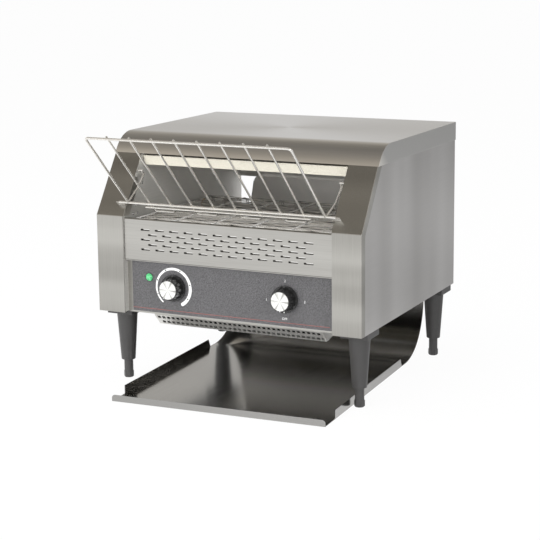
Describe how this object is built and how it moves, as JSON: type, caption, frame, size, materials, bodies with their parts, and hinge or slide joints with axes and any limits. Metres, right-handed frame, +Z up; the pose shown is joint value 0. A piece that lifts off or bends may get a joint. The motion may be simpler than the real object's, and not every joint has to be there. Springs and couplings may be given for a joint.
{
  "type": "conveyor toaster",
  "caption": "Countertop conveyor toaster with a wire-mesh belt, slanted loading rack, two control knobs, four adjustable legs and a slide-out toast tray.",
  "frame": {"origin": "middle of the overall box, on the counter that the feet stand on", "axes": "+X to the right seen from the front, +Y from the front to the back, +Z up"},
  "size_m": [0.42, 0.496, 0.3838],
  "materials": {
    "steel": "brushed stainless sheet, satin",
    "tray_steel": "brushed stainless sheet, satin, darkened by heat",
    "housing_white": "heat-proof cream enamel, matt",
    "quartz": "frosted quartz",
    "ceramic": "unglazed ceramic, matt",
    "fascia_film": "dark speckled printed film, satin",
    "bronze": "sintered bronze, oiled",
    "dark_steel": "plain turned steel, oiled",
    "belt_wire": "stainless wire darkened by heat",
    "motor_grey": "cast housing, satin grey",
    "bright_steel": "zinc-plated steel",
    "control_blue": "moulded plastic, matt blue",
    "black_plastic": "moulded plastic, semi-gloss black",
    "lamp_white": "moulded plastic, white",
    "lamp_green": "translucent green lens",
    "board_green": "green laminate board with parts",
    "leg_grey": "moulded dark grey plastic, satin",
    "cap_silver": "spun aluminium",
    "rack_chrome": "chromed wire"
  },
  "bodies": {
    "housing": {"left_inner_wall": "steel", "right_inner_wall": "steel", "left_side_panel": "steel", "right_side_panel": "steel", "left_front_column": "steel", "right_front_column": "steel", "hood": "steel", "rear_panel": "steel", "chamber_floor": "steel", "front_grille": "steel", "grille_baffle": "steel", "control_panel": "steel", "vent_guard": "steel", "base_pan": "steel", "heater_housing": "housing_white", "upper_heater_tubes": "quartz", "lower_heater_tubes": "quartz", "heater_end_caps": "ceramic", "panel_fascia": "fascia_film", "shaft_bearings": "bronze", "drive_chain": "dark_steel", "wire_belt": "belt_wire", "gear_motor": "motor_grey", "leg_bolts": "bright_steel", "cover_screws": "bright_steel", "speed_regulator": "control_blue", "selector_switch": "black_plastic", "thermal_cutout": "black_plastic", "cable_gland": "black_plastic", "fan_frame": "black_plastic", "pilot_lamp_body": "lamp_white", "terminal_block": "lamp_white", "pilot_lamp_lens": "lamp_green", "control_board": "board_green", "front_left_leg": "leg_grey", "front_right_leg": "leg_grey", "rear_left_leg": "leg_grey", "rear_right_leg": "leg_grey"},
    "drive_line": {"drive_shaft": "dark_steel", "drive_sprockets": "dark_steel", "chain_wheel": "dark_steel"},
    "idler_line": {"idler_shaft": "dark_steel", "idler_sprockets": "dark_steel"},
    "motor_line": {"motor_shaft": "bright_steel", "motor_sprocket": "dark_steel"},
    "fan": {"fan_rotor": "black_plastic"},
    "speed_dial": {"speed_knob": "black_plastic", "speed_knob_cap": "cap_silver", "speed_spindle": "bright_steel"},
    "selector_dial": {"selector_knob": "black_plastic", "selector_knob_cap": "cap_silver", "selector_spindle": "bright_steel"},
    "tray": {"toast_tray": "tray_steel"},
    "rack": {"loading_rack": "rack_chrome"},
    "foot_front_left": {"front_left_foot": "leg_grey"},
    "foot_front_right": {"front_right_foot": "leg_grey"},
    "foot_rear_left": {"rear_left_foot": "leg_grey"},
    "foot_rear_right": {"rear_right_foot": "leg_grey"}
  },
  "joints": [
    {"name": "drive_shaft_spin", "type": "hinge", "parent": "housing", "child": "drive_line", "pos_m": [0, 0.105, 0.234], "axis": [1, 0, 0], "continuous": true, "deforming": ["wire_belt", "drive_chain"]},
    {"name": "idler_shaft_spin", "type": "hinge", "parent": "housing", "child": "idler_line", "pos_m": [0, -0.115, 0.234], "axis": [1, 0, 0], "continuous": true},
    {"name": "motor_shaft_spin", "type": "hinge", "parent": "housing", "child": "motor_line", "pos_m": [0.18, 0.06752, 0.16045], "axis": [1, 0, 0], "continuous": true},
    {"name": "fan_spin", "type": "hinge", "parent": "housing", "child": "fan", "pos_m": [0, -0.075, 0.151], "axis": [0, 1, 0], "continuous": true},
    {"name": "speed_dial_turn", "type": "hinge", "parent": "housing", "child": "speed_dial", "pos_m": [-0.089, -0.128, 0.1515], "axis": [0, 1, 0], "range_deg": [0, 300]},
    {"name": "selector_dial_turn", "type": "hinge", "parent": "housing", "child": "selector_dial", "pos_m": [0.089, -0.128, 0.1515], "axis": [0, 1, 0], "range_deg": [0, 270]},
    {"name": "tray_slide", "type": "slide", "parent": "housing", "child": "tray", "axis": [0.0436, -0.999, 0], "range_m": [0, 0.09]},
    {"name": "rack_fold", "type": "hinge", "parent": "housing", "child": "rack", "pos_m": [0, -0.094, 0.314], "axis": [-1, 0, 0], "range_deg": [0, 90]},
    {"name": "front_left_foot_adjust", "type": "slide", "parent": "housing", "child": "foot_front_left", "axis": [0, 0, 1], "range_m": [-0.015, 0.015]},
    {"name": "rear_left_foot_adjust", "type": "slide", "parent": "housing", "child": "foot_rear_left", "axis": [0, 0, 1], "range_m": [-0.015, 0.015]},
    {"name": "front_right_foot_adjust", "type": "slide", "parent": "housing", "child": "foot_front_right", "axis": [0, 0, 1], "range_m": [-0.015, 0.015]},
    {"name": "rear_right_foot_adjust", "type": "slide", "parent": "housing", "child": "foot_rear_right", "axis": [0, 0, 1], "range_m": [-0.015, 0.015]}
  ],
  "couplings": [
    {"joint": "idler_shaft_spin", "follows": "drive_shaft_spin", "ratio": 1},
    {"joint": "motor_shaft_spin", "follows": "drive_shaft_spin", "ratio": 1}
  ]
}
